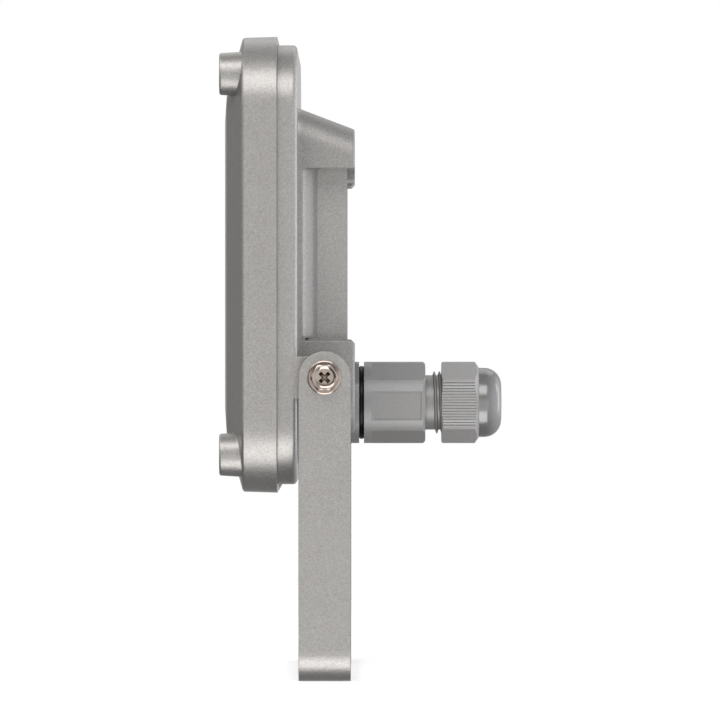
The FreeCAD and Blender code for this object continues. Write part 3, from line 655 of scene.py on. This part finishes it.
def make_world():
    """Grey studio with its own level in each direction, and a white backdrop for all that is looked at."""
    world = bpy.data.worlds.new("studio")
    world.use_nodes = True
    bpy.context.scene.world = world
    graph = Graph(world.node_tree)
    direction = graph.split(graph.add("ShaderNodeTexCoord").outputs["Generated"])
    room = None
    for axis, side, level, tint in room_lobes:
        facing = graph.spread(direction[axis], 0.0, 1.0, 0.0, side)
        lobe = graph.shade([level * part for part in tint], graph.times(facing, facing))
        if room is None:
            room = lobe
        else:
            room = graph.add("ShaderNodeVectorMath", {0: room, 1: lobe}, operation="ADD").outputs["Vector"]
    cone_start = -math.cos(math.radians(card_cone_outer))
    cone_end = -math.cos(math.radians(card_cone_inner))
    card = graph.spread(direction["X"], 0.0, 1.0, cone_start, cone_end)
    path = graph.add("ShaderNodeLightPath").outputs
    looked_at = graph.larger(path["Is Camera Ray"], path["Is Transmission Ray"])
    mixed = graph.add(
        "ShaderNodeMix",
        {"Factor": graph.larger(card, looked_at), 6: room},
        {7: (*white, 1.0)},
        data_type="RGBA",
    )
    background = graph.add("ShaderNodeBackground", {"Color": mixed.outputs[2]}, {"Strength": 1.0})
    graph.add("ShaderNodeOutputWorld", {"Surface": background.outputs[0]})


def make_softbox(name, elevation, azimuth, width, height, level, tint):
    """Rectangular soft light that faces the lamp; azimuth 0 is the camera's side, 90 the gland's."""
    data = bpy.data.lights.new(name, "AREA")
    data.shape = "RECTANGLE"
    data.size = width
    data.size_y = height
    data.energy = level * math.pi * width * height
    data.color = tint
    light = bpy.data.objects.new(name, data)
    up = math.radians(elevation)
    around = math.radians(azimuth)
    away = Vector((math.cos(up) * math.cos(around), math.cos(up) * math.sin(around), math.sin(up)))
    light.location = Vector((0, camera_y, camera_z)) + away * softbox_distance
    light.rotation_mode = "QUATERNION"
    light.rotation_quaternion = away.to_track_quat("Z", "Y")
    light.visible_camera = False
    bpy.context.scene.collection.objects.link(light)


def make_floor_sheet():
    """Round floor sheet with a rectangular opening behind the bracket."""
    steps = 4 * floor_quarter_steps
    front, back = opening_y
    points = [
        (opening_half_x, back, 0.0),
        (-opening_half_x, back, 0.0),
        (-opening_half_x, front, 0.0),
        (opening_half_x, front, 0.0),
    ]
    faces = []
    for step in range(steps):
        turn = 2 * math.pi * step / steps
        points.append((floor_radius * math.cos(turn), floor_radius * math.sin(turn), 0.0))
        corner = step // floor_quarter_steps
        after = 4 + (step + 1) % steps
        faces.append((corner, 4 + step, after))
        if (step + 1) % floor_quarter_steps == 0:
            faces.append((corner, after, (corner + 1) % 4))
    return new_piece("floor", points, faces)


def make_floor():
    """Pale floor under the bracket that fades out and lets the lower softbox shine through it."""
    floor = make_floor_sheet()
    material, graph = new_material("pale_floor")
    length = graph.add("ShaderNodeVectorMath", {0: graph.place()}, operation="LENGTH").outputs["Value"]
    faded = graph.spread(length, 0.0, 1.0, floor_radius - floor_fade, floor_radius)
    from_below = graph.add("ShaderNodeNewGeometry").outputs["Backfacing"]
    matte = graph.add("ShaderNodeBsdfDiffuse", {}, {"Color": floor_color}).outputs[0]
    lift = graph.add("ShaderNodeEmission", {}, {"Color": (*white, 1.0), "Strength": floor_lift}).outputs[0]
    lifted = graph.add("ShaderNodeAddShader", {0: matte, 1: lift}).outputs[0]
    path = graph.add("ShaderNodeLightPath").outputs
    looked_at = graph.larger(
        path["Is Camera Ray"], graph.larger(path["Is Glossy Ray"], path["Is Transmission Ray"])
    )
    top = graph.add("ShaderNodeMixShader", {"Fac": looked_at, 1: matte, 2: lifted}).outputs[0]
    clear = graph.add("ShaderNodeBsdfTransparent").outputs[0]
    hidden = graph.larger(faded, from_below)
    surface = graph.add("ShaderNodeMixShader", {"Fac": hidden, 1: top, 2: clear})
    graph.add("ShaderNodeOutputMaterial", {"Surface": surface.outputs[0]})
    floor.data.materials.append(material)
    floor.visible_shadow = False
    floor.visible_glossy = False
    floor.visible_diffuse = False


def make_camera():
    """Camera at the photograph's side view."""
    data = bpy.data.cameras.new("photo_camera")
    data.lens = lens_mm
    data.sensor_width = sensor_mm
    data.sensor_fit = "HORIZONTAL"
    data.clip_start = clip_near
    data.clip_end = clip_far
    camera = bpy.data.objects.new("photo_camera", data)
    looking = Matrix(((0, 0, 1), (1, 0, 0), (0, 1, 0))).to_4x4()
    camera.matrix_world = Matrix.Translation((camera_distance, camera_y, camera_z)) @ looking
    bpy.context.scene.collection.objects.link(camera)
    bpy.context.scene.camera = camera


barrel_plastic = make_plastic("grey_polyamide", 1.0)
dome_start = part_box("sealing_nut")[1].y - dome_length
nickel = make_nickel()
dress(["bracket", "front_frame"], make_paint("silver_powder_coat"))
dress(["housing"], make_paint("housing_powder_coat", rim_back))
dress(["terminal_barrel"], barrel_plastic)
# The flange gets a darker tone of the same plastic as painted shade
dress(["gland_base"], make_plastic("flange_polyamide_shaded", flange_painted_shade))
# The nut gets a lighter tone of the same plastic as painted light; its dome is darker and glossy
dress(["sealing_nut"], make_plastic("nut_polyamide_painted_light", nut_painted_light, dome_start))
dress(["gland_seal_ring", "cable_seal"], make_simple("black_seal_rubber"))
dress(["pivot_screw_right", "pivot_screw_left", "pivot_washer_right", "pivot_washer_left"], nickel)
screws = numbered("frame_screw", 4) + numbered("led_screw", 4) + numbered("reflector_screw", 2)
dress(screws, make_simple("zinc_plate"))
dress(numbered("terminal_sleeve", 3), make_simple("turned_brass"))
dress(["front_glass"], make_glass())
dress(["reflector"], make_hammered_metal())
dress(["led_chip"], make_phosphor())
dress(["led_chip_frame"], make_simple("white_frame_plastic"))
dress(["led_carrier"], make_simple("board_aluminium"))
dress(["glass_gasket"], make_simple("white_silicone"))
dress(["led_driver"], make_simple("potting_black"))
dress(["terminal_block"], make_simple("white_terminal_plastic"))

thread = make_helix_thread()
thread.data.materials.append(barrel_plastic)
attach(thread, "head")

for screw_node in ("pivot_screw_right", "pivot_screw_left"):
    screw = make_hexagon_screw(screw_node)
    screw.data.materials.append(nickel)
    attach(screw, "head")
    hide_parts(screw_node)

make_world()
for softbox in softboxes:
    make_softbox(*softbox)
make_floor()
make_camera()

view = bpy.context.scene.view_settings
view.view_transform = "Standard"
